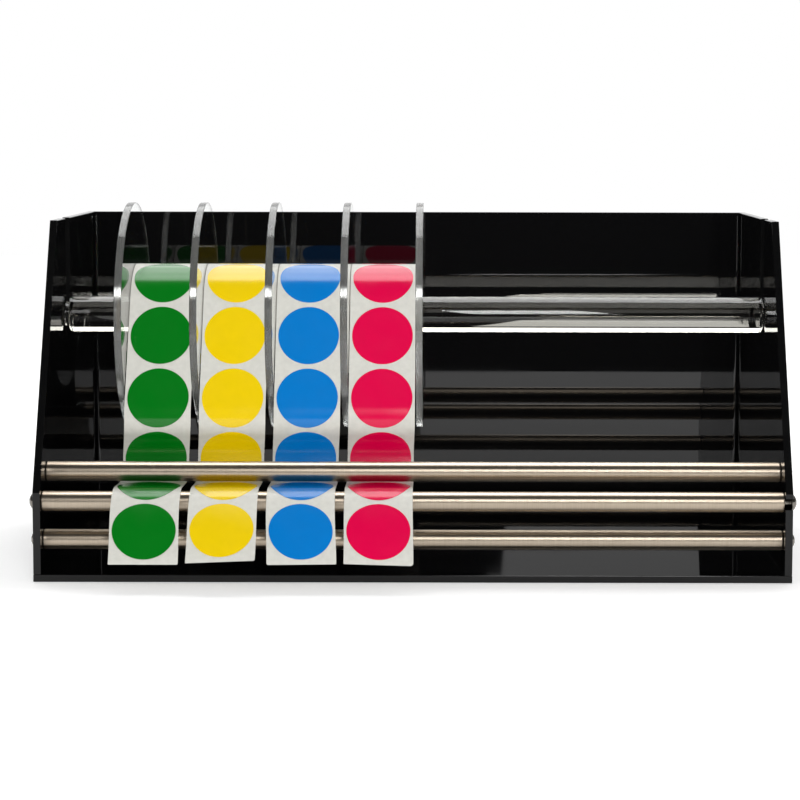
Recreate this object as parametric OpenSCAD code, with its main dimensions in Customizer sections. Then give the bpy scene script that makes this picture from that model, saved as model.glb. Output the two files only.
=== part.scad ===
// Label dispenser: a stand of black acrylic sheet with steel guide rods, and a clear spindle
// that lifts out of open slots with its label rolls and divider discs. Sizes in millimetres.
// X runs along the spindle, Y from front to back, Z up; the origin is the middle of the base's underside.

/* [Stand] */
// Width over the side panels
stand_w = 300; // [240:5:400]
// Depth from the front edge to the back face
stand_d = 150; // [140:1:200]
// Height to the top edges
stand_h = 141; // [130:1:180]
// Thickness of the acrylic sheet
sheet_t = 3; // [2:0.5:5]
// Height where the upright front edge of a side panel starts to slope
nose_h = 35.5; // [34:0.5:45]
// How far back the sloping edge meets the top edge
top_setback = 48; // [30:1:60]

/* [Guide rods] */
// Diameter of the steel rods
rod_d = 8; // [6:0.5:9]
// Upper rod, distance behind the front edge
upper_rod_back = 17.5; // [16:0.5:22]
// Upper rod, height of its axis
upper_rod_z = 41.6; // [40:0.2:46]
// Front rod, distance behind the front edge
front_rod_back = 6; // [5:0.5:8]
// Front rod, height of its axis
front_rod_z = 31.4; // [28:0.2:33]
// Lower rod, distance behind the front edge
lower_rod_back = 9; // [7:0.5:14]
// Lower rod, height of its axis
lower_rod_z = 15.6; // [12:0.2:18]

/* [Rod screws] */
// Diameter of the screw shank
screw_d = 4; // [3:0.5:5]
// Length of the shank under the head
screw_len = 12; // [8:1:20]
// Diameter of the button head
head_d = 7.6; // [6:0.1:9]
// Height of the button head
head_h = 2.2; // [1.6:0.1:3]
// Width across flats of the hexagon socket
socket_w = 2.5; // [1.5:0.1:3]
// Depth of the hexagon socket
socket_depth = 1.3; // [0.8:0.1:1.5]
// Play of a shank in its panel hole, on the diameter
hole_play = 0.4; // [0.2:0.1:1]
// Play of a shank in the rod's tapped end, on the diameter
tap_play = 0.1; // [0.05:0.05:0.2]
// Spare depth of the tapped hole past the screw's tip
tap_spare = 2; // [1:0.5:5]

/* [Spindle] */
// Diameter of the clear spindle
spindle_d = 15; // [12:0.5:18]
// Diameter of the turned necks that drop into the slots
neck_d = 10; // [8:0.5:11]
// Distance of the spindle's axis behind the front edge
spindle_back = 73; // [68:1:80]
// Height of the spindle's axis
spindle_z = 100.4; // [95:0.2:110]
// Length of the button outside each side panel
button_len = 4; // [3:0.5:8]
// Gap between the left side panel and the shoulder inside it
left_gap = 1.05; // [0.3:0.05:2]
// Gap between the right side panel and the shoulder inside it
right_gap = 0.15; // [0.1:0.05:1]
// Play of a neck in its slot, on the width
slot_play = 0.4; // [0.2:0.1:1]
// Rounding of the turned edges
turned_r = 1; // [0.4:0.1:1.4]

/* [Divider discs] */
// Diameter of the clear discs
disc_d = 95; // [70:1:98]
// Thickness of a disc
disc_t = 3; // [2:0.5:5]
// Play of the bore on the spindle, on the diameter
disc_play = 1; // [0.6:0.1:2]
// Gap between the left side panel and the first disc
first_disc_gap = 26; // [2:0.2:80]

/* [Label rolls] */
// Outer diameter of a wound roll
roll_d = 45.8; // [36:0.2:60]
// Inner diameter of the cardboard core
core_bore = 19.5; // [19:0.5:26]
// Wall of the cardboard core
core_wall = 1.5; // [1:0.1:3]
// Gap between a roll and the disc beside it
side_gap = 0.2; // [0.2:0.1:1]
// Gap left where rolls and discs hang on the spindle
hang_gap = 0.2; // [0.1:0.05:0.4]

/* [Labels] */
// Diameter of a round label
label_d = 25; // [15:0.5:30]
// Thickness of a label
label_t = 0.1; // [0.1:0.05:0.2]
// Gap between labels along the tape
label_gap = 2; // [1:0.5:6]
// Bare liner beside a label
label_edge = 1; // [0.5:0.1:3]
// Bare liner before the first label
end_margin = 2; // [1:0.5:5]
// Layer of glue under a label
glue_t = 0.04; // [0.02:0.01:0.1]

/* [Tapes] */
// Thickness of the liner tape
tape_t = 0.2; // [0.15:0.05:0.3]
// Gap between the tape and what it lies on
lie_gap = 0.15; // [0.1:0.05:0.2]
// Length of the free end in front of the front rod
free_len = 30; // [20:0.2:34]
// Lean of the free end halfway along it, from upright
free_lean = 40.5; // [30:0.5:55]
// Droop of the free end: how much steeper its tip hangs than its root
free_bow = 17; // [4:1:30]
// Radius of the springy bend over the front rod
spring_r = 12; // [5:0.5:16]
// Heading of the tape where it touches the front rod, from level
touch_heading = 24; // [10:1:35]
// Gap under the upper rod where the tape passes
pass_gap = 1.4; // [0.6:0.1:2]
// How far the tape runs on behind the upper rod before it turns up
behind_len = 7; // [6:0.5:9]
// Radius of the slack bend behind the upper rod
slack_r = 11; // [9:0.5:13]
// Heading at the end of the slack bend, from level
slack_heading = 128; // [110:1:130]
// Radius of the bend back towards the roll
return_r = 12; // [8:0.5:16]
// Least turn of the tape round the roll, over its top
least_lap = 100; // [90:5:120]

/* [Hidden] */
$fn = 64;

// The rolls from left to right, and the colours of their labels
roll_names = ["green", "yellow", "blue", "red"];
label_colours = ["#007616", "#f3d000", "#007acc", "#e20048"];
black_acrylic = "#101012";
clear_acrylic = [0.86, 0.9, 0.92, 0.45];
polished_steel = "#b9b2a6";
liner_white = "#cdcbc3";
card_brown = "#b79f80";

// The stand's main planes
front_y = -stand_d / 2;
back_y = stand_d / 2;
inner_x = stand_w / 2 - sheet_t;
inner_w = 2 * inner_x;

// Axes that cross the stand, as [y, z]
upper_rod = [front_y + upper_rod_back, upper_rod_z];
front_rod = [front_y + front_rod_back, front_rod_z];
lower_rod = [front_y + lower_rod_back, lower_rod_z];
rods = [upper_rod, front_rod, lower_rod];
spindle = [front_y + spindle_back, spindle_z];

// What hangs on the spindle hangs by the top of its bore
disc_bore = spindle_d + disc_play;
spindle_top = spindle_z + spindle_d / 2 + hang_gap;
disc_axis = [spindle[0], spindle_top - disc_bore / 2];
roll_axis = [spindle[0], spindle_top - core_bore / 2];
core_od = core_bore + 2 * core_wall;

// Discs and rolls stand in a row from the left
liner_w = label_d + 2 * label_edge;
row_pitch = disc_t + liner_w + 2 * side_gap;
function disc_x(i) = -inner_x + first_disc_gap + i * row_pitch;
function roll_x(i) = disc_x(i) + disc_t + side_gap;
label_pitch = label_d + label_gap;

// The tape's route is drawn in the YZ plane. A heading of 0 runs to the back and 90 runs up, and the
// labels are on its left. These are the circles that the middle of the tape touches.
rod_wrap_r = rod_d / 2 + lie_gap + tape_t / 2;
pass_r = rod_d / 2 + pass_gap + tape_t / 2;
lap_r = roll_d / 2 + label_t + lie_gap + tape_t / 2;

function ray(a) = [cos(a), sin(a)];
function left_of(a) = [-sin(a), cos(a)];
function angle_of(v) = atan2(v[1], v[0]);

// Over the front rod the tape springs up in a wider bend than the rod and touches it in one line only.
// Where the rods are too close for that bend, it is made as narrow as they need.
rod_step = upper_rod - front_rod;
step_out = rod_step * left_of(touch_heading);
fit_r = (rod_step * rod_step + rod_wrap_r * rod_wrap_r - pass_r * pass_r - 2 * rod_wrap_r * step_out)
    / (2 * (rod_wrap_r + pass_r - step_out));
bend_r = max(rod_wrap_r, min(spring_r, 0.9 * fit_r));
bend_centre = front_rod - (bend_r - rod_wrap_r) * left_of(touch_heading);

// From there it goes under the upper rod: a line that crosses between two circles
bridge_span = upper_rod - bend_centre;
bridge_heading = angle_of(bridge_span) - asin((bend_r + pass_r) / norm(bridge_span));
bridge_start = bend_centre + bend_r * left_of(bridge_heading);
bridge_end = upper_rod - pass_r * left_of(bridge_heading) + behind_len * ray(bridge_heading);

// The free end droops from its root at the front rod to its tip
root_heading = 90 - free_lean - free_bow / 2;
tip_heading = root_heading + free_bow;
free_root = bend_centre + bend_r * left_of(root_heading);
droop_r = free_len * 180 / (PI * free_bow);
free_tip = free_root + droop_r * (left_of(tip_heading) - left_of(root_heading));

// Behind the upper rod the slack bends up and forward, then back, and runs straight to the roll
slack_centre = bridge_end + slack_r * left_of(bridge_heading);
slack_end = slack_centre - slack_r * left_of(slack_heading);
return_centre = slack_end - return_r * left_of(slack_heading);
roll_span = roll_axis - return_centre;
run_heading = angle_of(roll_span) + asin((lap_r - return_r) / norm(roll_span));
run_start = return_centre + return_r * left_of(run_heading);
lap_start = roll_axis + lap_r * left_of(run_heading);

// Each stretch is [start, heading, length, turn to the left over its length]
function straight(from, heading, len) = [from, heading, len, 0];
function bend(from, heading, r, turn) = [from, heading, r * abs(turn) * PI / 180, turn];
free_stretches = [
    bend(free_tip, tip_heading, droop_r, -free_bow),
    bend(free_root, root_heading, bend_r, bridge_heading - root_heading),
    straight(bridge_start, bridge_heading, norm(bridge_end - bridge_start)),
    bend(bridge_end, bridge_heading, slack_r, slack_heading - bridge_heading),
    bend(slack_end, slack_heading, return_r, run_heading - slack_heading),
    straight(run_start, run_heading, norm(lap_start - run_start))
];
function length_to(list, i) = i < 0 ? 0 : list[i][2] + length_to(list, i - 1);

// The tape lies over the roll as far as the next gap between two labels
free_total = length_to(free_stretches, len(free_stretches) - 1);
least_total = free_total + lap_r * least_lap * PI / 180;
label_count = ceil((least_total - end_margin + label_gap / 2) / label_pitch);
tape_len = end_margin + label_count * label_pitch - label_gap / 2;
lap_turn = (tape_len - free_total) / lap_r * 180 / PI;
stretches = concat(free_stretches, [bend(lap_start, run_heading, lap_r, -lap_turn)]);

// Heading and point at a distance t along one stretch, and at a distance s along the tape
function heading_on(st, t) = st[1] + st[3] * t / st[2];
function point_on(st, t) = st[3] == 0
    ? st[0] + t * ray(st[1])
    : let (r = st[2] * 180 / (PI * st[3]), a = heading_on(st, t))
        st[0] + r * [sin(a) - sin(st[1]), cos(st[1]) - cos(a)];
function tape_at(s, i = 0) = s <= stretches[i][2] || i == len(stretches) - 1
    ? [point_on(stretches[i], s), heading_on(stretches[i], s)]
    : tape_at(s - stretches[i][2], i + 1);

// One point beside the tape's middle line, out on the label side
function beside(s, out) = let (p = tape_at(s)) p[0] + out * left_of(p[1]);

// Places along the tape where its outline has a point: the ends of stretches, and steps round bends
bend_step = 8;
function steps_of(st) = max(1, ceil(abs(st[3]) / bend_step));
tape_stops = concat(
    [for (i = [0:len(stretches) - 1], k = [0:steps_of(stretches[i]) - 1])
        length_to(stretches, i - 1) + stretches[i][2] * k / steps_of(stretches[i])],
    [tape_len]);

// Lays a drawing in the YZ plane and gives it a length along X, from x
module along_x(x, len) {
    translate([x, 0, 0]) rotate([90, 0, 90]) linear_extrude(len) children();
}

// A round bar along X, from x, about an axis given as [y, z]
module bar_x(axis, x, len, d) {
    translate([x, axis[0], axis[1]]) rotate([0, 90, 0]) cylinder(d = d, h = len);
}

// A ring along X, from x
module ring_x(axis, x, len, outer, inner) {
    difference() {
        bar_x(axis, x, len, outer);
        bar_x(axis, x - 1, len + 2, inner);
    }
}

module base_panel() {
    color(black_acrylic) translate([-stand_w / 2, front_y, 0]) cube([stand_w, stand_d, sheet_t]);
}

// A side panel stands on the base: an outline with a sloping front, a slot open at the top for the
// spindle's neck, and a clearance hole for each rod's screw
module side_panel(x) {
    slot_w = neck_d + slot_play;
    difference() {
        along_x(x, sheet_t) polygon([
            [front_y, sheet_t], [front_y, nose_h], [front_y + top_setback, stand_h],
            [back_y, stand_h], [back_y, sheet_t]
        ]);
        bar_x(spindle, x - 1, sheet_t + 2, slot_w);
        translate([x - 1, spindle[0] - slot_w / 2, spindle_z])
            cube([sheet_t + 2, slot_w, stand_h - spindle_z + 1]);
        for (rod = rods) bar_x(rod, x - 1, sheet_t + 2, screw_d + hole_play);
    }
}

module left_side_panel() {
    color(black_acrylic) side_panel(-stand_w / 2);
}

// On the right the front rod's hole is open to the front edge, so that the rod can slip in
module right_side_panel() {
    notch_w = screw_d + hole_play;
    color(black_acrylic) difference() {
        side_panel(inner_x);
        translate([inner_x - 1, front_y - 1, front_rod_z - notch_w / 2])
            cube([sheet_t + 2, front_rod_back + 1, notch_w]);
    }
}

module back_panel() {
    color(black_acrylic) translate([-inner_x, back_y - sheet_t, sheet_t])
        cube([inner_w, sheet_t, stand_h - sheet_t]);
}

// A rod fits between the side panels and is tapped at both ends
module guide_rod(axis) {
    tap_d = screw_d + tap_play;
    tap_depth = screw_len - sheet_t + tap_spare;
    color(polished_steel) difference() {
        bar_x(axis, -inner_x, inner_w, rod_d);
        bar_x(axis, -inner_x - 1, tap_depth + 1, tap_d);
        bar_x(axis, inner_x - tap_depth, tap_depth + 1, tap_d);
    }
}

module upper_guide_rod() {
    guide_rod(upper_rod);
}

module front_guide_rod() {
    guide_rod(front_rod);
}

module lower_guide_rod() {
    guide_rod(lower_rod);
}

// A button-head screw along Z, its shank below z = 0 and its domed head with a hexagon socket above
module button_screw() {
    dome_r = (pow(head_d / 2, 2) + pow(head_h, 2)) / (2 * head_h);
    difference() {
        union() {
            translate([0, 0, -screw_len]) cylinder(d = screw_d, h = screw_len);
            intersection() {
                cylinder(d = head_d, h = head_h);
                translate([0, 0, head_h - dome_r]) sphere(r = dome_r);
            }
        }
        translate([0, 0, head_h - socket_depth])
            cylinder(d = socket_w / cos(30), h = socket_depth + 1, $fn = 6);
    }
}

// The three screws of one side panel; side is -1 on the left and 1 on the right
module rod_screws(side) {
    color(polished_steel) for (rod = rods)
        translate([side * stand_w / 2, rod[0], rod[1]]) rotate([0, side * 90, 0]) button_screw();
}

module left_rod_screws() {
    rod_screws(-1);
}

module right_rod_screws() {
    rod_screws(1);
}

// Half outline of a turned length with rounded rims: radius r, from a to b along the axis
module turned_length(r, a, b) {
    translate([0, a + turned_r]) square([r, b - a - 2 * turned_r]);
    translate([0, a]) square([r - turned_r, b - a]);
    for (z = [a + turned_r, b - turned_r]) translate([r - turned_r, z]) circle(r = turned_r);
}

// The spindle is one bar with a neck at each end; the necks sit in the side panels' slots
module spindle_rod() {
    neck_len = sheet_t + left_gap + right_gap;
    left = -inner_x + left_gap;
    right = inner_x - right_gap;
    r = spindle_d / 2;
    color(clear_acrylic) translate([0, spindle[0], spindle_z]) rotate([0, 90, 0]) rotate_extrude() {
        translate([0, left - neck_len - turned_r])
            square([neck_d / 2, right - left + 2 * (neck_len + turned_r)]);
        turned_length(r, left, right);
        turned_length(r, left - neck_len - button_len, left - neck_len);
        turned_length(r, right + neck_len, right + neck_len + button_len);
    }
}

module divider_disc(i) {
    color(clear_acrylic) ring_x(disc_axis, disc_x(i), disc_t, disc_d, disc_bore);
}

module roll_core(i) {
    color(card_brown) ring_x(roll_axis, roll_x(i), liner_w, core_od, core_bore);
}

module label_roll(i) {
    color(liner_white) ring_x(roll_axis, roll_x(i), liner_w, roll_d, core_od);
}

// Labels round the roll's outer turn, as many whole ones as fit; the first follows the tape's last
module roll_labels(i) {
    turn = label_pitch / (roll_d / 2) * 180 / PI;
    first = run_heading - lap_turn - turn / 2;
    color(label_colours[i]) for (k = [0:floor(360 / turn) - 1]) intersection() {
        ring_x(roll_axis, roll_x(i), liner_w, roll_d + 2 * label_t, roll_d);
        translate([roll_x(i) + liner_w / 2, roll_axis[0], roll_axis[1]]) rotate([first - k * turn, 0, 0])
            cylinder(d = label_d, h = roll_d);
    }
}

// The tape from its cut end, round the rods and over the roll's top
module label_tape(i) {
    half = tape_t / 2;
    color(liner_white) along_x(roll_x(i), liner_w) polygon(concat(
        [for (s = tape_stops) beside(s, half)],
        [for (k = [len(tape_stops) - 1:-1:0]) beside(tape_stops[k], -half)]));
}

// A list of numbers in rising order, and one without those that lie within a step of the last
function sorted(v) = len(v) < 2 ? v : let (pivot = v[floor(len(v) / 2)]) concat(
    sorted([for (a = v) if (a < pivot) a]),
    [pivot],
    sorted([for (a = v) if (a > pivot) a]));
function spaced(v, step) = [for (k = [0:len(v) - 1]) if (k == 0 || v[k] - v[k - 1] > step) v[k]];

// One round label that follows the tape: sections across it from rim to rim, at even turns round its
// rim and wherever the tape bends, each with two points underneath and two on top
rim_steps = 14;
rim_angle = 8;
least_step = 0.2;
module tape_label(middle, x) {
    r = label_d / 2;
    under = tape_t / 2 + glue_t;
    reach = r * cos(rim_angle) - least_step;
    places = spaced(sorted(concat(
        [for (k = [0:rim_steps]) middle - r * cos(rim_angle + (180 - 2 * rim_angle) * k / rim_steps)],
        [for (s = tape_stops) if (abs(s - middle) < reach) s])), least_step);
    function section(s) = let (
        half = sqrt(r * r - (s - middle) * (s - middle)),
        low = beside(s, under),
        top = beside(s, under + label_t))
        [[x - half, low[0], low[1]], [x + half, low[0], low[1]],
         [x + half, top[0], top[1]], [x - half, top[0], top[1]]];
    last = 4 * (len(places) - 1);
    polyhedron(
        points = [for (s = places) each section(s)],
        faces = concat(
            [[2, 1, 0], [3, 2, 0], [last, last + 1, last + 2], [last, last + 2, last + 3]],
            [for (a = [0:4:last - 4], k = [0:3]) each
                let (b = a + k, c = a + (k + 1) % 4) [[b, c, c + 4], [b, c + 4, b + 4]]]));
}

module tape_labels(i) {
    color(label_colours[i]) for (k = [0:label_count - 1])
        tape_label(end_margin + label_d / 2 + k * label_pitch, roll_x(i) + liner_w / 2);
}

base_panel();
left_side_panel();
right_side_panel();
back_panel();
upper_guide_rod();
front_guide_rod();
lower_guide_rod();
left_rod_screws();
right_rod_screws();
spindle_rod();
for (i = [0:len(roll_names)]) {
    divider_disc(i);
}
for (i = [0:len(roll_names) - 1]) {
    roll_core(i);
    label_roll(i);
    roll_labels(i);
    label_tape(i);
    tape_labels(i);
}
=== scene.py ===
"""Label dispenser: a stand of black acrylic with steel guide rods, and a clear spindle that carries four
rolls of round labels between clear discs. Sizes are in metres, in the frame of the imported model."""
import math

import bmesh
import bpy
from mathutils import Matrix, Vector, noise


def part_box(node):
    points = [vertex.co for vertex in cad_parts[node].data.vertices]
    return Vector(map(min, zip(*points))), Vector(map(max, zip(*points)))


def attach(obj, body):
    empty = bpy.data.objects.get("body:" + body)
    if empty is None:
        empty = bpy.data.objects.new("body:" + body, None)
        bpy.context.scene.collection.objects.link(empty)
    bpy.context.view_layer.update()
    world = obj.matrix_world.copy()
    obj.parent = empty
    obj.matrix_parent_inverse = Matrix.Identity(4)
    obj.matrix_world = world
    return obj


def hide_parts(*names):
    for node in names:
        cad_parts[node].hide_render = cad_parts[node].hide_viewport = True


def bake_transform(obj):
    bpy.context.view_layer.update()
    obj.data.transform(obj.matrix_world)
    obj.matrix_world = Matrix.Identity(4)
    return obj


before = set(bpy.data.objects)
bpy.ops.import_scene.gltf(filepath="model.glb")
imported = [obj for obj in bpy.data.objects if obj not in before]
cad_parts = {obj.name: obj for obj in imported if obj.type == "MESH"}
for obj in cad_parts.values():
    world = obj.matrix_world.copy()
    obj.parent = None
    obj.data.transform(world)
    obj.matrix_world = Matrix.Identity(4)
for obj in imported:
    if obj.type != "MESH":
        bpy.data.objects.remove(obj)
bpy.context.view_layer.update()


# Base panel: a rectangle of black cast acrylic sheet that lies flat on the table. It is cut out with a
# saw or a laser, its cut edges are eased and wiped, and the upright panels are glued on top of it.
edge_ease = 0.00025
base_lo, base_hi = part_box("base_panel")
sheet_t = base_hi.z - base_lo.z


def ink(red, green, blue):
    """A colour given as screen values from 0 to 255, in the linear form that shaders take."""
    shares = [value / 255 for value in (red, green, blue)]
    return [s / 12.92 if s <= 0.04045 else ((s + 0.055) / 1.055) ** 2.4 for s in shares] + [1.0]


def add_node(tree, kind, inputs, **settings):
    """A new node; each of its inputs is a plain value or an output of another node."""
    made = tree.nodes.new(kind)
    for name, value in settings.items():
        setattr(made, name, value)
    for name, value in inputs.items():
        if isinstance(value, bpy.types.NodeSocket):
            tree.links.new(value, made.inputs[name])
        else:
            made.inputs[name].default_value = value
    return made


def new_finish(name, **sockets):
    """A finish with one shader, whose even values are set on its own sockets. Gives the finish, its
    node tree, its shader and the place on the object that patterns are drawn by."""
    finish = bpy.data.materials.new(name)
    finish.use_nodes = True
    tree = finish.node_tree
    shader = tree.nodes["Principled BSDF"]
    for socket, value in sockets.items():
        shader.inputs[socket.replace("_", " ")].default_value = value
    return finish, tree, shader, add_node(tree, "ShaderNodeTexCoord", {}).outputs["Object"]


def mottle(tree, place, scale, low=0.0, high=1.0, detail=3.0):
    """A cloudy pattern that runs from low to high. The noise itself keeps mostly within 0.3 to 0.7."""
    cloud = add_node(tree, "ShaderNodeTexNoise", {"Vector": place, "Scale": scale, "Detail": detail})
    spread = add_node(tree, "ShaderNodeMapRange", {
        "Value": cloud.outputs["Fac"], "From Min": 0.3, "From Max": 0.7, "To Min": low, "To Max": high})
    return spread.outputs["Result"]


def blend_inks(tree, share, first, second):
    """One colour where share is 0 and another where it is 1. A Mix node's colours are its inputs 6 and 7 and
    its output 2."""
    mixed = add_node(tree, "ShaderNodeMix", {"Factor": share, 6: first, 7: second}, data_type="RGBA")
    return mixed.outputs[2]


def add_relief(tree, shader, height, strength, distance):
    """Gives a shader a fine relief from a pattern of heights."""
    bump = add_node(tree, "ShaderNodeBump", {"Height": height, "Strength": strength, "Distance": distance})
    tree.links.new(bump.outputs["Normal"], shader.inputs["Normal"])


def arithmetic(tree, operation, *values):
    """The result of one operation on plain values or outputs of nodes."""
    return add_node(tree, "ShaderNodeMath", dict(enumerate(values)), operation=operation).outputs[0]


def specks(tree, place, scale, share, size):
    """Small round spots, as dust leaves them: in a share of the cells of a given scale."""
    cells = add_node(tree, "ShaderNodeTexVoronoi", {"Vector": place, "Scale": scale})
    chosen = arithmetic(tree, "GREATER_THAN", cells.outputs["Color"], 1 - share)
    spot = arithmetic(tree, "LESS_THAN", cells.outputs["Distance"], size)
    return arithmetic(tree, "MULTIPLY", chosen, spot)


def polished_face_finish():
    """The moulded gloss of the sheet: near black, very smooth, with faint haze and a few specks of dust."""
    finish, tree, shader, place = new_finish("black_acrylic_face", IOR=1.49)
    dust = specks(tree, place, scale=420.0, share=0.02, size=0.09)
    colour = blend_inks(tree, dust, ink(11, 11, 12), ink(58, 57, 56))
    tree.links.new(colour, shader.inputs["Base Color"])
    haze = mottle(tree, place, scale=22.0, low=0.012, high=0.035)
    tree.links.new(haze, shader.inputs["Roughness"])
    waves = mottle(tree, place, scale=9.0, detail=1.0)
    add_relief(tree, shader, waves, strength=0.05, distance=0.0002)
    return finish


def cut_edge_finish():
    """The cut edge of the sheet: the same black, duller than the face, with fine cutting marks."""
    finish, tree, shader, place = new_finish("black_acrylic_edge", IOR=1.49, Specular_IOR_Level=0.3)
    colour = blend_inks(tree, mottle(tree, place, scale=160.0), ink(9, 9, 10), ink(13, 13, 13))
    tree.links.new(colour, shader.inputs["Base Color"])
    dullness = mottle(tree, place, scale=60.0, low=0.09, high=0.17)
    tree.links.new(dullness, shader.inputs["Roughness"])
    marks = mottle(tree, place, scale=900.0, detail=2.0)
    add_relief(tree, shader, marks, strength=0.15, distance=0.00002)
    return finish


def finished(name, shape, corner=26):
    """Makes an object of a bmesh, smooth but for corners of more than so many degrees."""
    bmesh.ops.recalc_face_normals(shape, faces=shape.faces)
    mesh = bpy.data.meshes.new(name)
    shape.to_mesh(mesh)
    shape.free()
    mesh.shade_smooth()
    mesh.set_sharp_from_angle(angle=math.radians(corner))
    piece = bpy.data.objects.new(name, mesh)
    bpy.context.scene.collection.objects.link(piece)
    return piece


def dress(piece, slot, nodes, *finishes):
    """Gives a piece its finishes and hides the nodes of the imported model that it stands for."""
    for finish in finishes:
        piece.data.materials.append(finish)
    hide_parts(*nodes)
    return piece


def moved_in(loop, inset):
    """A closed loop of points moved to its left by inset, with mitred corners."""
    moved = []
    for before, point, after in zip(loop[-1:] + loop[:-1], loop, loop[1:] + loop[:1]):
        arriving = (point - before).normalized().orthogonal()
        leaving = (after - point).normalized().orthogonal()
        mitre = (arriving + leaving).normalized()
        moved.append(point + mitre * (inset / mitre.dot(arriving)))
    return moved


def quarter_round(radius, steps):
    """A rounded corner as pairs of insets, from (radius, 0) to (0, radius)."""
    turns = [math.radians(90 * k / steps) for k in range(steps + 1)]
    return [(radius * (1 - math.sin(a)), radius * (1 - math.cos(a))) for a in turns]


def cut_sheet(name, loops, laid):
    """A piece of sheet with eased edges. The loops are its outline and its holes, with the sheet on their
    left, and laid takes a point of a loop and a height through the sheet to the frame."""
    sheet = bmesh.new()
    lower = quarter_round(edge_ease, steps=3)
    section = lower + [(inset, sheet_t - height) for inset, height in reversed(lower)]
    faces = ([], [])
    for loop in loops:
        rings = [[sheet.verts.new(laid(p.x, p.y, height)) for p in moved_in(loop, inset)]
                 for inset, height in section]
        for ring, above in zip(rings, rings[1:]):
            for k in range(len(ring)):
                wall = sheet.faces.new((ring[k - 1], ring[k], above[k], above[k - 1]))
                wall.material_index = 1
        for edges, ring in zip(faces, (rings[0], rings[-1])):
            edges += [sheet.edges.get((ring[k - 1], ring[k])) for k in range(len(ring))]
    for edges in faces:
        bmesh.ops.triangle_fill(sheet, use_beauty=True, edges=edges)
    return finished(name, sheet, corner=10)


def rectangle(a, b, c, d):
    """The loop of a rectangle from (a, b) to (c, d)."""
    return [Vector((a, b)), Vector((c, b)), Vector((c, d)), Vector((a, d))]


face_finish = polished_face_finish()
edge_finish = cut_edge_finish()
base_sheet = cut_sheet("base_sheet", [rectangle(base_lo.x, base_lo.y, base_hi.x, base_hi.y)],
                       lambda a, b, h: (a, b, base_lo.z + h))
dress(base_sheet, "black_acrylic", ["base_panel"], face_finish, edge_finish)
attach(base_sheet, "stand")


# Side panels: two uprights of the same sheet, mirror images that stand on the base. Each has a sloping
# front, a slot open at the top for the spindle's neck and a hole for each rod's screw; on the right the
# front rod's hole is open to the front edge, so that this rod can be slipped in.
nose_h = 0.0355
top_setback = 0.048
slot_w = 0.0104
screw_hole_d = 0.0044
hole_steps = 48


def axis_of(node):
    """Where the axis of a round node along X crosses the YZ plane."""
    lo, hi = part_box(node)
    middle = (lo + hi) / 2
    return Vector((middle.y, middle.z))


def arc(centre, radius, first, last, steps=24):
    """Points round a centre, from one angle to another in degrees."""
    angles = [math.radians(first + (last - first) * k / steps) for k in range(steps + 1)]
    return [centre + radius * Vector((math.cos(a), math.sin(a))) for a in angles]


rod_nodes = ["upper_guide_rod", "front_guide_rod", "lower_guide_rod"]
rod_axes = [axis_of(node) for node in rod_nodes]
upper_rod, front_rod = rod_axes[:2]
spindle_axis = axis_of("spindle_rod")
for side, node in (("left", "left_side_panel"), ("right", "right_side_panel")):
    lo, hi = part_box(node)
    outline = [Vector((lo.y, lo.z)), Vector((hi.y, lo.z)), Vector((hi.y, hi.z))]
    outline.append(Vector((spindle_axis.x + slot_w / 2, hi.z)))
    outline += arc(spindle_axis, slot_w / 2, 0, -180)
    outline.append(Vector((spindle_axis.x - slot_w / 2, hi.z)))
    outline += [Vector((lo.y + top_setback, hi.z)), Vector((lo.y, nose_h))]
    round_holes = list(rod_axes)
    if side == "right":
        round_holes.remove(front_rod)
        mouth = screw_hole_d / 2
        outline.append(Vector((lo.y, front_rod.y + mouth)))
        outline += arc(front_rod, mouth, 90, -90)
        outline.append(Vector((lo.y, front_rod.y - mouth)))
    holes = [arc(centre, screw_hole_d / 2, 360, 360 / hole_steps, hole_steps - 1) for centre in round_holes]
    side_sheet = cut_sheet(side + "_side_sheet", [outline] + holes, lambda a, b, h: (lo.x + h, a, b))
    dress(side_sheet, "black_acrylic", [node], face_finish, edge_finish)
    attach(side_sheet, "stand")


# Back panel: a rectangle of the same sheet between the side panels, level with their top edges. It is
# glued along three edges, with a bead of cement in the upright corners, and mirrors what hangs before it.
cement = 0.0016
back_lo, back_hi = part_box("back_panel")


def joined(name, pieces):
    """One object of several."""
    with bpy.context.temp_override(active_object=pieces[0], selected_editable_objects=pieces):
        bpy.ops.object.join()
    pieces[0].name = name
    return pieces[0]


def cement_bead(corner_x, inward):
    """Cement that has crept out of a joint and set hollow in the upright corner beside it."""
    hollow = [(0, 0)] + quarter_round(cement, steps=6)
    bead = bmesh.new()
    ends = [[bead.verts.new((corner_x + inward * a, back_lo.y - b, z)) for a, b in hollow]
            for z in (back_lo.z, back_hi.z - cement)]
    for end in ends:
        bead.faces.new(end)
    for k in range(len(hollow)):
        bead.faces.new((ends[0][k - 1], ends[0][k], ends[1][k], ends[1][k - 1]))
    return finished("cement_bead", bead)


back_board = cut_sheet("back_board", [rectangle(back_lo.x, back_lo.z, back_hi.x, back_hi.z)],
                       lambda a, b, h: (a, back_lo.y + h, b))
back_sheet = joined("back_sheet", [back_board, cement_bead(back_lo.x, 1), cement_bead(back_hi.x, -1)])
dress(back_sheet, "black_acrylic", ["back_panel"], face_finish, edge_finish)
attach(back_sheet, "stand")


# Guide rods: three bars of ground stainless steel between the side panels. Each is cut to length, its ends
# are chamfered in the lathe, and it is drilled and tapped at both ends for a screw.
rod_chamfer = 0.0004
tap_d = 0.0041
tap_depth = 0.011


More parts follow.
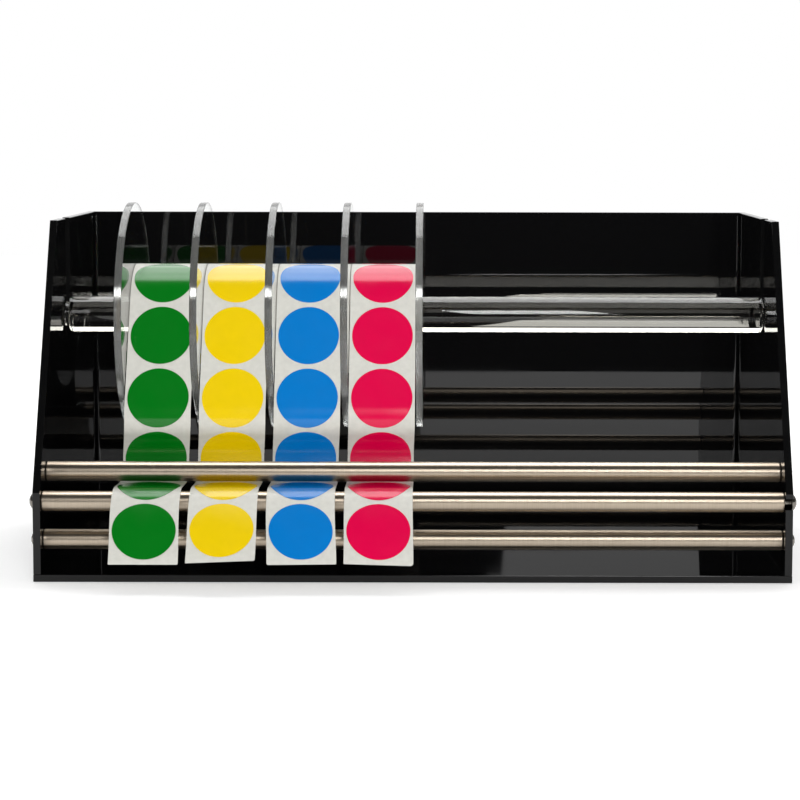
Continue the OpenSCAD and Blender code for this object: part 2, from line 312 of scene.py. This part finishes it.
def turned(name, profile, axis, steps=96, closed=False):
    """A piece turned about an axis along X, from a profile of (x, radius). A radius may be a function of
    the angle, and a closed profile is that of a ring."""
    shape = bmesh.new()
    angles = [2 * math.pi * k / steps for k in range(steps)]
    rings = []
    for x, radius in profile:
        spokes = [radius(a) if callable(radius) else radius for a in angles]
        count = steps if max(spokes) > 0 else 1
        rings.append([shape.verts.new((x, axis.x + r * math.cos(a), axis.y + r * math.sin(a)))
                      for r, a in list(zip(spokes, angles))[:count]])
    following = rings[1:] + (rings[:1] if closed else [])
    for ring, after in zip(rings, following):
        for k in range(steps):
            corners = [ring[k % len(ring)], ring[(k + 1) % steps % len(ring)],
                       after[(k + 1) % steps % len(after)], after[k % len(after)]]
            shape.faces.new(list(dict.fromkeys(corners)))
    return finished(name, shape)


def ground_steel_finish():
    """Ground and polished stainless steel: warm grey, with fine marks that run round the bar."""
    finish, tree, shader, place = new_finish("ground_steel", Metallic=1.0, Anisotropic=0.6,
                                             Anisotropic_Rotation=0.25)
    ringed = add_node(tree, "ShaderNodeMapping", {"Vector": place, "Scale": (1.0, 0.04, 0.04)})
    marks = mottle(tree, ringed.outputs["Vector"], scale=2600.0, detail=4.0)
    colour = blend_inks(tree, marks, ink(180, 166, 148), ink(188, 175, 158))
    tree.links.new(colour, shader.inputs["Base Color"])
    grind = mottle(tree, ringed.outputs["Vector"], scale=700.0, low=0.33, high=0.37)
    tree.links.new(grind, shader.inputs["Roughness"])
    around = add_node(tree, "ShaderNodeTangent", {}, direction_type="RADIAL", axis="X")
    tree.links.new(around.outputs["Tangent"], shader.inputs["Tangent"])
    return finish


steel_finish = ground_steel_finish()
for node, axis in zip(rod_nodes, rod_axes):
    lo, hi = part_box(node)
    radius = (hi.z - lo.z) / 2
    half_profile = [(tap_depth, 0), (tap_depth, tap_d / 2), (0, tap_d / 2), (0, radius - rod_chamfer),
                    (rod_chamfer, radius)]
    profile = [(lo.x + depth, r) for depth, r in half_profile]
    profile += [(hi.x - depth, r) for depth, r in reversed(half_profile)]
    rod = dress(turned(node.replace("_guide", ""), profile, axis), "polished_steel", [node], steel_finish)
    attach(rod, "stand")


# Rod screws: three button-head screws through each side panel into the rods' tapped ends. They are
# pressed from steel wire, with a domed head, a hexagon socket and a rolled thread, which is drawn here as
# rings, and brightened by tumbling.
head_d = 0.0076
head_h = 0.0022
head_edge = 0.0001
dome_steps = 8
shank_d = 0.004
shank_len = 0.012
socket_w = 0.0025
socket_depth = 0.0013
socket_cone = 0.0003
socket_rim = 1.3 * socket_w / 2
thread_pitch = 0.0007
thread_depth = 0.00011
dome_r = ((head_d / 2) ** 2 + head_h ** 2) / (2 * head_h)


def tumbled_steel_finish():
    """Bright pressed steel, less even than a ground bar."""
    finish, tree, shader, place = new_finish("tumbled_steel", Metallic=1.0)
    cloud = mottle(tree, place, scale=1400.0)
    colour = blend_inks(tree, cloud, ink(112, 108, 102), ink(134, 130, 123))
    tree.links.new(colour, shader.inputs["Base Color"])
    dullness = mottle(tree, place, scale=900.0, low=0.16, high=0.26)
    tree.links.new(dullness, shader.inputs["Roughness"])
    add_relief(tree, shader, cloud, strength=0.04, distance=0.00003)
    return finish


def dome_height(radius):
    """Height of the domed head at a distance from its axis."""
    return head_h - dome_r + math.sqrt(dome_r ** 2 - radius ** 2)


def hexagon(angle):
    """Distance from the axis to a wall of the socket."""
    return socket_w / 2 / math.cos((angle + math.pi / 6) % (math.pi / 3) - math.pi / 6)


screw_finish = tumbled_steel_finish()
dome_radii = [head_d / 2 - (head_d / 2 - socket_rim) * k / dome_steps for k in range(dome_steps + 1)]

# Each ring of the thread rises, runs level and falls, and does so up to these shares of its pitch
thread_root = shank_d / 2 - thread_depth
screw_profile = [(-shank_len, 0), (-shank_len, thread_root)]
for k in range(int(shank_len / thread_pitch)):
    for share, radius in ((0.4, shank_d / 2), (0.55, shank_d / 2), (0.95, thread_root)):
        screw_profile.append((-shank_len + (k + share) * thread_pitch, radius))
screw_profile += [(0, thread_root), (0, head_d / 2 - head_edge)]
screw_profile += [(max(dome_height(r), head_edge), r) for r in dome_radii]
screw_profile += [(dome_height(socket_w / 2), hexagon), (head_h - socket_depth, hexagon),
                  (head_h - socket_depth - socket_cone, 0)]
for side, out in (("left", -1), ("right", 1)):
    node = side + "_rod_screws"
    panel_lo, panel_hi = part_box(side + "_side_panel")
    panel_face = panel_hi.x if out > 0 else panel_lo.x
    profile = [(panel_face + out * height, r) for height, r in screw_profile]
    screws = [turned(side + "_screw", profile, axis, steps=48) for axis in rod_axes]
    screw_set = dress(joined(side + "_screws", screws), "screw_steel", [node], screw_finish)
    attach(screw_set, "stand")


# Spindle: one bar of clear cast acrylic, turned down to a neck near each end and polished. The necks drop
# into the side panels' slots, and the buttons outside keep it from moving endways.
neck_d = 0.010
neck_len = 0.0042
button_len = 0.004
turned_round = 0.001


def clear_acrylic_finish(name, haze, deep, shallow):
    """Clear acrylic with a trace of colour in its depth, and faint haze where it was polished."""
    finish, tree, shader, place = new_finish(name, IOR=1.49, Transmission_Weight=1.0)
    depth = mottle(tree, place, scale=35.0, detail=2.0)
    tree.links.new(blend_inks(tree, depth, deep, shallow), shader.inputs["Base Color"])
    tree.links.new(mottle(tree, place, scale=120.0, high=haze), shader.inputs["Roughness"])
    return finish


def let_light_through(piece):
    """Keeps a clear piece from darkening the paper beside it."""
    piece.visible_shadow = False
    piece.visible_diffuse = False


def rounded_length(start, end, radius):
    """Profile of a turned length with rounded rims."""
    rim = [(inset, radius - drop) for inset, drop in quarter_round(turned_round, steps=5)]
    return [(start + x, r) for x, r in reversed(rim)] + [(end - x, r) for x, r in rim]


spindle_lo, spindle_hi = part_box("spindle_rod")
spindle_r = (spindle_hi.z - spindle_lo.z) / 2
left_button = spindle_lo.x + button_len
right_button = spindle_hi.x - button_len
spindle_profile = [(spindle_lo.x, 0)] + rounded_length(spindle_lo.x, left_button, spindle_r)
spindle_profile += [(left_button, neck_d / 2), (left_button + neck_len, neck_d / 2)]
spindle_profile += rounded_length(left_button + neck_len, right_button - neck_len, spindle_r)
spindle_profile += [(right_button - neck_len, neck_d / 2), (right_button, neck_d / 2)]
spindle_profile += rounded_length(right_button, spindle_hi.x, spindle_r) + [(spindle_hi.x, 0)]
spindle_bar = turned("spindle_bar", spindle_profile, spindle_axis, steps=128)
bar_finish = clear_acrylic_finish("clear_bar", haze=0.02, deep=ink(246, 243, 231), shallow=ink(251, 249, 240))
dress(spindle_bar, "clear_acrylic", ["spindle_rod"], bar_finish)
let_light_through(spindle_bar)
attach(spindle_bar, "spindle")


# Divider discs: five loose discs of clear acrylic sheet that hang on the spindle beside the rolls and keep
# them apart. Their faces are as cast, and their sawn and flamed rims are milky, with eased corners.
disc_count = 5
disc_bore = 0.016
disc_ease = 0.0002


def flamed_rim_finish():
    """A rim polished with a flame: clear, but milky from the saw marks left under the gloss."""
    finish, tree, shader, place = new_finish("flamed_rim", IOR=1.49, Transmission_Weight=0.88)
    milk = mottle(tree, place, scale=140.0)
    colour = blend_inks(tree, milk, ink(206, 208, 205), ink(222, 223, 220))
    tree.links.new(colour, shader.inputs["Base Color"])
    tree.links.new(mottle(tree, place, scale=260.0, low=0.1, high=0.2), shader.inputs["Roughness"])
    return finish


disc_finish = clear_acrylic_finish("clear_disc", haze=0.015, deep=ink(246, 250, 248),
                                   shallow=ink(251, 252, 251))
rim_finish = flamed_rim_finish()
for i in range(1, disc_count + 1):
    node = "divider_disc_" + str(i)
    lo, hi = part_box(node)
    rim_r = (hi.z - lo.z) / 2
    bore_r = disc_bore / 2
    profile = [(lo.x + disc_ease, bore_r), (lo.x, bore_r + disc_ease), (lo.x, rim_r - disc_ease),
               (lo.x + disc_ease, rim_r), (hi.x - disc_ease, rim_r), (hi.x, rim_r - disc_ease),
               (hi.x, bore_r + disc_ease), (hi.x - disc_ease, bore_r)]
    disc = turned("clear_disc_" + str(i), profile, axis_of(node), steps=256, closed=True)
    dress(disc, "clear_acrylic", [node], disc_finish, rim_finish)
    for face in disc.data.polygons:
        flat = abs(face.normal.x) > 0.9
        face.material_index = 0 if flat else 1
    let_light_through(disc)
    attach(disc, "disc_" + str(i))


# Roll cores: tubes of wound grey-brown board, cut off to the width of the tape. Each carries one roll
# and hangs on the spindle by the top of its bore.
core_bore = 0.0195
core_plies = 3
ply_round = 0.1
ply_groove = 0.0001
label_colours = {"green": ink(0, 118, 22), "yellow": ink(243, 208, 0), "blue": ink(0, 122, 204),
                 "red": ink(226, 0, 72)}


def core_board_finish():
    """Wound board: grey-brown, matt and fibrous."""
    finish, tree, shader, place = new_finish("core_board", Specular_IOR_Level=0.2)
    fibres = mottle(tree, place, scale=1800.0, detail=5.0)
    colour = blend_inks(tree, fibres, ink(158, 134, 103), ink(192, 170, 139))
    tree.links.new(colour, shader.inputs["Base Color"])
    tree.links.new(mottle(tree, place, scale=300.0, low=0.75, high=0.95), shader.inputs["Roughness"])
    add_relief(tree, shader, fibres, strength=0.5, distance=0.0001)
    return finish


board_finish = core_board_finish()
for colour in label_colours:
    node = colour + "_core"
    lo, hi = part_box(node)
    outer = (hi.z - lo.z) / 2
    ply = (outer - core_bore / 2) / core_plies
    profile = [(lo.x, core_bore / 2)]
    for k in range(core_plies):
        inner = core_bore / 2 + k * ply
        profile += [(lo.x, inner + ply_round * ply), (lo.x, inner + (1 - ply_round) * ply)]
        profile.append((lo.x + ply_groove, inner + ply))
    profile[-1] = (lo.x, outer)
    profile += [(lo.x + hi.x - x, r) for x, r in reversed(profile)]
    tube = turned(colour + "_tube", profile, axis_of(node), steps=64, closed=True)
    dress(tube, "core_card", [node], board_finish)
    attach(tube, colour + "_reel")


# Label rolls: the liner tape with its labels, wound tight on the core by machine. The sides show the
# edge of every turn, and the turns stand out from each other by a hair.
turn_pitch = 0.00042
turn_steps = 72
turn_depth = 0.00012
turn_unevenness = 900
weld_gap = 1e-7


def liner_finish():
    """Glazed liner paper: off-white, with a soft sheen and faint clouds in the pulp."""
    finish, tree, shader, place = new_finish("liner_paper", IOR=1.45, Specular_IOR_Level=0.4)
    pulp = mottle(tree, place, scale=420.0, detail=5.0)
    colour = blend_inks(tree, pulp, ink(208, 207, 199), ink(217, 216, 208))
    tree.links.new(colour, shader.inputs["Base Color"])
    tree.links.new(mottle(tree, place, scale=90.0, low=0.34, high=0.48), shader.inputs["Roughness"])
    add_relief(tree, shader, pulp, strength=0.08, distance=0.00004)
    return finish


def wound_edge_finish():
    """The side of a roll: matt edges of paper, a little greyer than its face."""
    finish, tree, shader, place = new_finish("wound_edges", Specular_IOR_Level=0.25)
    fibres = mottle(tree, place, scale=1500.0, detail=4.0)
    colour = blend_inks(tree, fibres, ink(196, 193, 185), ink(214, 211, 203))
    tree.links.new(colour, shader.inputs["Base Color"])
    tree.links.new(mottle(tree, place, scale=200.0, low=0.6, high=0.8), shader.inputs["Roughness"])
    return finish


def wound_side(shape, axis, side_x, inward, inner, outer):
    """Adds one side of a roll to a shape: a spiral of turns, each with a flat edge and a groove."""
    turns = math.ceil((outer - inner) / turn_pitch)
    rows = []
    for k in range((turns + 1) * turn_steps + 1):
        angle = 2 * math.pi * k / turn_steps
        row = []
        for share, depth in ((0.0, 0.0), (0.7, 0.0), (0.85, turn_depth)):
            r = inner + turn_pitch * (k / turn_steps + share - 1)
            deep = depth if inner < r < outer else 0
            x = side_x + inward * deep * (1 + noise.noise((0, 0, r * turn_unevenness)))
            r = min(max(r, inner), outer)
            row.append(shape.verts.new((x, axis.x + r * math.cos(angle), axis.y + r * math.sin(angle))))
        rows.append(row)
    for k in range(len(rows) - 1):
        stops = rows[k] + (rows[k + turn_steps][:1] if k + turn_steps < len(rows) else [])
        afters = rows[k + 1] + (rows[k + 1 + turn_steps][:1] if k + 1 + turn_steps < len(rows) else [])
        for j in range(min(len(stops), len(afters)) - 1):
            shape.faces.new((stops[j], stops[j + 1], afters[j + 1], afters[j])).material_index = 1


paper_finish = liner_finish()
wound_finish = wound_edge_finish()
for colour in label_colours:
    node = colour + "_roll"
    lo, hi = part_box(node)
    core_lo, core_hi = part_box(colour + "_core")
    inner = (core_hi.z - core_lo.z) / 2
    outer = (hi.z - lo.z) / 2
    axis = axis_of(node)
    shape = bmesh.new()
    wound_side(shape, axis, lo.x, 1, inner, outer)
    wound_side(shape, axis, hi.x, -1, inner, outer)
    angles = [2 * math.pi * k / turn_steps for k in range(turn_steps)]
    for radius in (inner, outer):
        rims = [[shape.verts.new((x, axis.x + radius * math.cos(a), axis.y + radius * math.sin(a)))
                 for a in angles] for x in (lo.x, hi.x)]
        for k in range(turn_steps):
            shape.faces.new((rims[0][k - 1], rims[0][k], rims[1][k], rims[1][k - 1]))
    bmesh.ops.remove_doubles(shape, verts=shape.verts, dist=weld_gap)
    bmesh.ops.dissolve_degenerate(shape, edges=shape.edges, dist=weld_gap)
    wound = dress(finished(colour + "_winding", shape), "liner_paper", [node], paper_finish, wound_finish)
    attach(wound, colour + "_reel")


# Tapes: the free length of each roll's liner, from its torn end over the front rod, under the upper rod,
# up through a slack bend and over the roll. It is a springy strip of glazed paper that lies where it was
# pulled, so each end hangs a little differently.
tape_t = 0.0002
lie_gap = 0.00015
free_len = 0.030
free_lean = 40.5
free_bow = 17
spring_r = 0.012
touch_heading = 24
pass_gap = 0.0014
behind_len = 0.007
slack_r = 0.011
slack_heading = 128
return_r = 0.012
label_d = 0.025
label_gap = 0.002
label_t = 0.0001
end_margin = 0.002
drift_start = 0.087
drift_len = 0.018
hang_power = 1.5
section_len = 0.0015
section_turn = 4
column_count = 24
glue_t = 0.00004
label_count = 7


def ray(degrees):
    """The direction of a heading: 0 runs to the back and 90 runs up."""
    return Vector((math.cos(math.radians(degrees)), math.sin(math.radians(degrees))))


def left_of(degrees):
    """The direction to the left of a heading, where the tape's labels are."""
    return ray(degrees + 90)


def heading_of(vector):
    """The heading of a vector, in degrees."""
    return math.degrees(math.atan2(vector.y, vector.x))


roll_axis = axis_of("green_roll")
rod_lo, rod_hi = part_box("front_guide_rod")
roll_lo, roll_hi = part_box("green_roll")
rod_r = (rod_hi.z - rod_lo.z) / 2
roll_r = (roll_hi.z - roll_lo.z) / 2
rod_wrap_r = rod_r + lie_gap + tape_t / 2
pass_r = rod_r + pass_gap + tape_t / 2
lap_r = roll_r + label_t + lie_gap + tape_t / 2

# A springy bend rests on the front rod, and from it the bridge goes straight under the upper one
bend_centre = front_rod - (spring_r - rod_wrap_r) * left_of(touch_heading)
bridge_span = upper_rod - bend_centre
bridge_heading = heading_of(bridge_span) - math.degrees(math.asin((spring_r + pass_r) / bridge_span.length))
bridge_start = bend_centre + spring_r * left_of(bridge_heading)
bridge_end = upper_rod - pass_r * left_of(bridge_heading) + behind_len * ray(bridge_heading)

# Before the bend hangs the free end, a little hollow, as springy paper does
root_heading = 90 - free_lean - free_bow / 2
tip_heading = root_heading + free_bow
free_root = bend_centre + spring_r * left_of(root_heading)
droop_r = free_len / math.radians(free_bow)
free_tip = free_root + droop_r * (left_of(tip_heading) - left_of(root_heading))

# Behind the upper rod the slack bends up and forward, then back, and runs straight to the roll
slack_centre = bridge_end + slack_r * left_of(bridge_heading)
slack_end = slack_centre - slack_r * left_of(slack_heading)
return_centre = slack_end - return_r * left_of(slack_heading)
roll_span = roll_axis - return_centre
run_heading = heading_of(roll_span) + math.degrees(math.asin((lap_r - return_r) / roll_span.length))
run_start = return_centre + return_r * left_of(run_heading)
lap_start = roll_axis + lap_r * left_of(run_heading)

# Each stretch is its start, its heading, its radius, or its length where it is straight, and its left turn
stretches = [
    (free_tip, tip_heading, droop_r, -free_bow),
    (free_root, root_heading, spring_r, bridge_heading - root_heading),
    (bridge_start, bridge_heading, (bridge_end - bridge_start).length, 0),
    (bridge_end, bridge_heading, slack_r, slack_heading - bridge_heading),
    (slack_end, slack_heading, return_r, run_heading - slack_heading),
    (run_start, run_heading, (lap_start - run_start).length, 0),
]

# From here on each has its length in place of its radius, and the last one lies on the roll
stretches = [(start, heading, math.radians(abs(turn)) * size if turn else size, turn)
             for start, heading, size, turn in stretches]
label_pitch = label_d + label_gap
tape_len = end_margin + label_count * label_pitch - label_gap / 2
lap_len = tape_len - sum(stretch[2] for stretch in stretches)
lap_turn = math.degrees(lap_len / lap_r)
stretches.append((lap_start, run_heading, lap_len, -lap_turn))


def tape_at(distance):
    """Point and heading of the tape's middle line at a distance from its end."""
    for start, heading, length, turn in stretches:
        if distance <= length or start == lap_start:
            break
        distance -= length
    if not turn:
        return start + distance * ray(heading), heading
    now = heading + turn * distance / length
    radius = length / math.radians(turn)
    return start - radius * (left_of(now) - left_of(heading)), now


def tape_stops():
    """Distances along the tape for its sections: close together round bends."""
    stops = []
    done = 0
    for start, heading, length, turn in stretches:
        steps = max(math.ceil(length / section_len), math.ceil(abs(turn) / section_turn))
        stops += [done + length * k / steps for k in range(steps)]
        done += length
    return stops + [tape_len]


def thin_solid(name, top, under):
    """A thin closed sheet between two grids of points, one row after another."""
    shape = bmesh.new()
    grids = [[[shape.verts.new(p) for p in row] for row in grid] for grid in (top, under)]
    upper, lower = grids
    last = len(upper) - 1
    end = len(upper[0]) - 1
    for grid in grids:
        for row, after in zip(grid, grid[1:]):
            for k in range(end):
                shape.faces.new((row[k], row[k + 1], after[k + 1], after[k]))
    rim = [(0, k) for k in range(end)] + [(k, end) for k in range(last)]
    rim += [(last, k) for k in range(end, 0, -1)] + [(k, 0) for k in range(last, 0, -1)]
    for (i, j), (m, n) in zip(rim, rim[1:] + rim[:1]):
        shape.faces.new((upper[i][j], upper[m][n], lower[m][n], lower[i][j]))
    return finished(name, shape)


class HangingTape:
    """How one tape hangs: below the discs it drifts to a side, and its end may be torn askew, twist, lean to
    a side, lift, and have worn corners."""

    def __init__(self, middle, width, drift, skew, twist, lean, lift, left_corner, right_corner):
        self.middle = middle
        self.width = width
        self.drift = drift
        self.skew = skew
        self.twist = twist
        self.lean = lean
        self.lift = lift
        self.corners = (left_corner, right_corner)

    def place(self, distance, across, out):
        """A point of the tape: a distance along it, one from its middle and a height on its labels' side."""
        hang = max(0.0, 1 - distance / free_len) ** hang_power
        loose = min(1.0, distance / free_len, max(0.0, (drift_start - distance) / drift_len))
        aside = self.lean * hang + self.drift * loose ** 2 * (3 - 2 * loose)
        corner = self.corners[across > 0]
        into_corner = max(0.0, abs(across) - self.width / 2 + corner)
        worn = corner - math.sqrt(max(0.0, corner ** 2 - into_corner ** 2))
        distance += (self.skew * across + worn) * max(0.0, 1 - distance / (label_d / 2))
        point, heading = tape_at(distance)
        tip = math.radians(self.twist) * hang
        rise = out * math.cos(tip) + across * math.sin(tip) + self.lift * hang
        spot = point + rise * left_of(heading)
        x = self.middle + aside + across * math.cos(tip) - out * math.sin(tip)
        return Vector((x, spot.x, spot.y))


# Per tape: drift to the right, slant of the torn end, twist in degrees, lean of the end to the right, lift,
# and the left and right corners
tape_habits = {"green": (-0.0012, 0.0, 0.0, 0.0, 0.0, 0.0002, 0.0003),
               "yellow": (-0.0009, 0.02, 3.0, -0.0003, 0.003, 0.0002, 0.0005),
               "blue": (-0.0008, 0.012, 0.0, 0.0006, 0.0003, 0.0007, 0.0003),
               "red": (-0.0005, -0.03, 0.0, 0.0, 0.0, 0.0003, 0.0012)}
tapes = {}
for colour, habits in tape_habits.items():
    node = colour + "_tape"
    lo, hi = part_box(node)
    width = hi.x - lo.x
    tapes[colour] = HangingTape((lo.x + hi.x) / 2, width, *habits)
    columns = [width / 2 * math.sin(math.radians(180 * k / column_count - 90))
               for k in range(column_count + 1)]
    faces = [[[tapes[colour].place(s, across, out) for across in columns] for s in tape_stops()]
             for out in (tape_t / 2, -tape_t / 2)]
    strip = dress(thin_solid(colour + "_strip", *faces), "liner_paper", [node], paper_finish)
    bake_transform(strip)


# Labels: round stickers of glossy coloured paper, die cut on the liner one after another. Those on the free
# tape follow all its bends, and those on the roll lie round its outer turn.
cloud_share = 0.97
row_count = 90
half_columns = 3


def label_paper_finish(name, colour):
    """Glossy dyed paper: an even strong colour with faint clouds, under a smooth coat."""
    finish, tree, shader, place = new_finish(name, IOR=1.5, Specular_IOR_Level=0.43)
    cloud = mottle(tree, place, scale=260.0, detail=4.0)
    deeper = [share * cloud_share for share in colour[:3]] + [1.0]
    tree.links.new(blend_inks(tree, cloud, deeper, colour), shader.inputs["Base Color"])
    tree.links.new(mottle(tree, place, scale=110.0, low=0.14, high=0.2), shader.inputs["Roughness"])
    add_relief(tree, shader, mottle(tree, place, scale=700.0), strength=0.03, distance=0.00003)
    return finish


def label_grid(place, height):
    """A round label as rows from rim to rim, placed by a function of the distance along, across and out."""
    grid = []
    for k in range(1, row_count):
        angle = math.radians(180 * k / row_count)
        along = -label_d / 2 * math.cos(angle)
        half = label_d / 2 * math.sin(angle)
        shares = [j / half_columns - 1 for j in range(2 * half_columns + 1)]
        grid.append([place(along, half * share, height) for share in shares])
    return grid


roll_turn = math.degrees(label_pitch / roll_r)
first_angle = 90 + run_heading - lap_turn - roll_turn / 2
for colour, tape in tapes.items():
    slot = colour + "_labels"
    finish = label_paper_finish(colour + "_label_paper", label_colours[colour])
    on_tape = []
    for k in range(label_count):
        middle = end_margin + label_d / 2 + k * label_pitch
        low = tape_t / 2 + glue_t
        grids = [label_grid(lambda a, b, out: tape.place(middle + a, b, out), height)
                 for height in (low + label_t, low)]
        on_tape.append(thin_solid(colour + "_tape_label", *grids))
    dots = dress(joined(colour + "_tape_dots", on_tape), slot, [colour + "_tape_labels"], finish)
    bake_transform(dots)

    on_roll = []
    for k in range(int(360 // roll_turn)):
        turn = first_angle - k * roll_turn

        def round_the_roll(along, across, out):
            """A point on the roll: a distance from a label's middle along and across, and a height."""
            spot = roll_axis + (roll_r + out) * ray(turn - math.degrees(along / roll_r))
            return Vector((tape.middle + across, spot.x, spot.y))

        grids = [label_grid(round_the_roll, height) for height in (label_t, 0.0)]
        on_roll.append(thin_solid(colour + "_roll_label", *grids))
    dots = dress(joined(colour + "_roll_dots", on_roll), slot, [colour + "_roll_labels"], finish)
    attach(dots, colour + "_reel")


# Studio: a white table top that ends below the camera's view, a wide soft box from straight overhead to the
# back, a tall narrow one to the right of the camera, two strips at its sides, and a white backdrop. In front
# the room is dark.
table_front = -0.552
table_back = 2.2
table_half_w = 1.8
table_gap = 0.0002
# The card's glow is painted light: it rises from near_glow within near_reach of the object to far_glow past
# far_reach, so the floor round the object is painted darker, and for the paper it is an even painted bounce
# light
near_reach = 0.13
far_reach = 0.3
near_glow = 0.4
far_glow = 0.6
painted_bounce_glow = 0.85


def ramp(tree, value, start, end, low, high):
    """A level that runs from low to high while a value runs from start to end."""
    made = add_node(tree, "ShaderNodeMapRange", {
        "Value": value, "From Min": start, "From Max": end, "To Min": low, "To Max": high})
    return made.outputs["Result"]


def either(tree, share, first, second):
    """One level where share is 0 and another where it is 1."""
    return add_node(tree, "ShaderNodeMix", {0: share, 2: first, 3: second}).outputs[0]


def table_finish():
    """White card, which reads as white wherever it is seen and still takes a shadow. Its glow is painted
    light, stronger away from the object than near it, and it lights the paper by an even glow, a painted
    bounce light."""
    finish, tree, shader, place = new_finish("table_card", Roughness=0.9, Specular_IOR_Level=0.0)
    pale = blend_inks(tree, mottle(tree, place, scale=30.0), ink(228, 228, 228), ink(232, 232, 232))
    tree.links.new(pale, shader.inputs["Base Color"])
    shader.inputs["Emission Color"].default_value = (1, 1, 1, 1)
    # Painted light: the glow seen by all but diffuse rays grows with the distance from the object, and
    # diffuse rays get an even painted bounce glow that lights the paper
    away = add_node(tree, "ShaderNodeVectorMath", {0: place}, operation="LENGTH")
    seen = ramp(tree, away.outputs["Value"], near_reach, far_reach, near_glow, far_glow)
    path = add_node(tree, "ShaderNodeLightPath", {})
    level = either(tree, path.outputs["Is Diffuse Ray"], seen, painted_bounce_glow)
    tree.links.new(level, shader.inputs["Emission Strength"])
    return finish


table = bmesh.new()
corners = [(-table_half_w, table_front), (table_half_w, table_front), (table_half_w, table_back),
           (-table_half_w, table_back)]
table.faces.new([table.verts.new((x, y, -table_gap)) for x, y in corners])
table_top = finished("table_top", table)
table_top.data.materials.append(table_finish())

# The backdrop and the room are the world: white where the camera looks, and for the gloss white behind the
# object and dark in front and at the sides. Paper is lit by an even fill, which is weaker from above
dark = 0.03
floor_fill = 0.8
ceiling_fill = 0.32
side_shade = 0.9
world = bpy.data.worlds.new("studio")
bpy.context.scene.world = world
world.use_nodes = True
tree = world.node_tree
facing = add_node(tree, "ShaderNodeTexCoord", {}).outputs["Generated"]
parts = add_node(tree, "ShaderNodeSeparateXYZ", {"Vector": facing})
path = add_node(tree, "ShaderNodeLightPath", {})
backness = ramp(tree, parts.outputs["Y"], start=-0.02, end=0.12, low=dark, high=1.0)
aside = arithmetic(tree, "ABSOLUTE", parts.outputs["X"])
sideness = ramp(tree, aside, start=0.5, end=0.8, low=0.0, high=side_shade)
shade = arithmetic(tree, "MULTIPLY", sideness, path.outputs["Is Glossy Ray"])
fill = ramp(tree, parts.outputs["Z"], start=0.0, end=1.0, low=floor_fill, high=ceiling_fill)
room = either(tree, path.outputs["Is Diffuse Ray"], either(tree, shade, backness, dark), fill)
level = arithmetic(tree, "MAXIMUM", room, path.outputs["Is Camera Ray"])
tree.links.new(level, tree.nodes["Background"].inputs["Strength"])
tree.nodes["Background"].inputs["Color"].default_value = (1, 1, 1, 1)


def soft_box(name, place, aim, width, height, brightness):
    """A flat lamp of even brightness, where 1 is the brightness of white."""
    lamp = bpy.data.lights.new(name, "AREA")
    lamp.shape = "RECTANGLE"
    lamp.size = width
    lamp.size_y = height
    lamp.energy = brightness * math.pi * width * height
    holder = bpy.data.objects.new(name, lamp)
    holder.location = place
    holder.rotation_euler = (Vector(aim) - Vector(place)).to_track_quat("-Z", "Y").to_euler()
    bpy.context.scene.collection.objects.link(holder)
    return holder


# The box overhead is brightest at its front edge, so it is three strips on an arc about the object, each with
# its first and last angle, from the front up and over, and its brightness. Only the middle one lights the
# paper, and all of them light the gloss
arc_r = 1.25
arc_height = 0.1
arc_width = 1.7
overhead_strips = [(90, 106, 4.4), (106, 126, 3.2), (126, 148, 2.0)]
for k, (first, last, brightness) in enumerate(overhead_strips):
    middle = ray((first + last) / 2)
    depth = 2 * arc_r * math.tan(math.radians((last - first) / 2))
    strip = soft_box("overhead_box_%d" % k, (0, -arc_r * middle.x, arc_height + arc_r * middle.y),
                     (0, 0, arc_height), arc_width, depth, brightness)
    strip.visible_diffuse = k == 1

# The front box is narrow, leans a little to the left, and is dimmer at its foot: two lengths, each with its
# place across, its lower and upper end and its brightness
front_away = -1.05
front_width = 0.2
front_lean = math.radians(4.8)
for across, foot, top, brightness in ((0.174, 0.2, 0.27, 4.2), (0.141, 0.27, 0.7, 13.0)):
    height = (foot + top) / 2
    front_box = soft_box("front_box", (across, front_away, height), (across, 0, height),
                         front_width, top - foot, brightness)
    front_box.rotation_euler.rotate_axis("Z", front_lean)

# Two narrow boxes at the sides of the camera put the fine lights on upright corners and turned rims
for across in (-0.75, 0.75):
    side_box = soft_box("side_box", place=(across, -0.8, 0.15), aim=(0, 0, 0.08), width=0.12, height=0.35,
                        brightness=4.0)
    side_box.visible_diffuse = False

# The camera stands a little higher than the object and looks slightly down on it
camera_pitch = math.radians(90 - 4.915)
camera_roll = math.radians(-0.11)
camera = bpy.data.cameras.new("camera")
camera.lens = 99.8
camera.sensor_width = 36
camera.shift_x = -0.0493
camera.shift_y = -0.1
camera_holder = bpy.data.objects.new("camera", camera)
camera_holder.location = (0.0102, -0.9396, 0.1786)
camera_holder.rotation_euler = (camera_pitch, camera_roll, 0)
bpy.context.scene.collection.objects.link(camera_holder)
bpy.context.scene.camera = camera_holder
bpy.context.scene.view_settings.view_transform = "Standard"
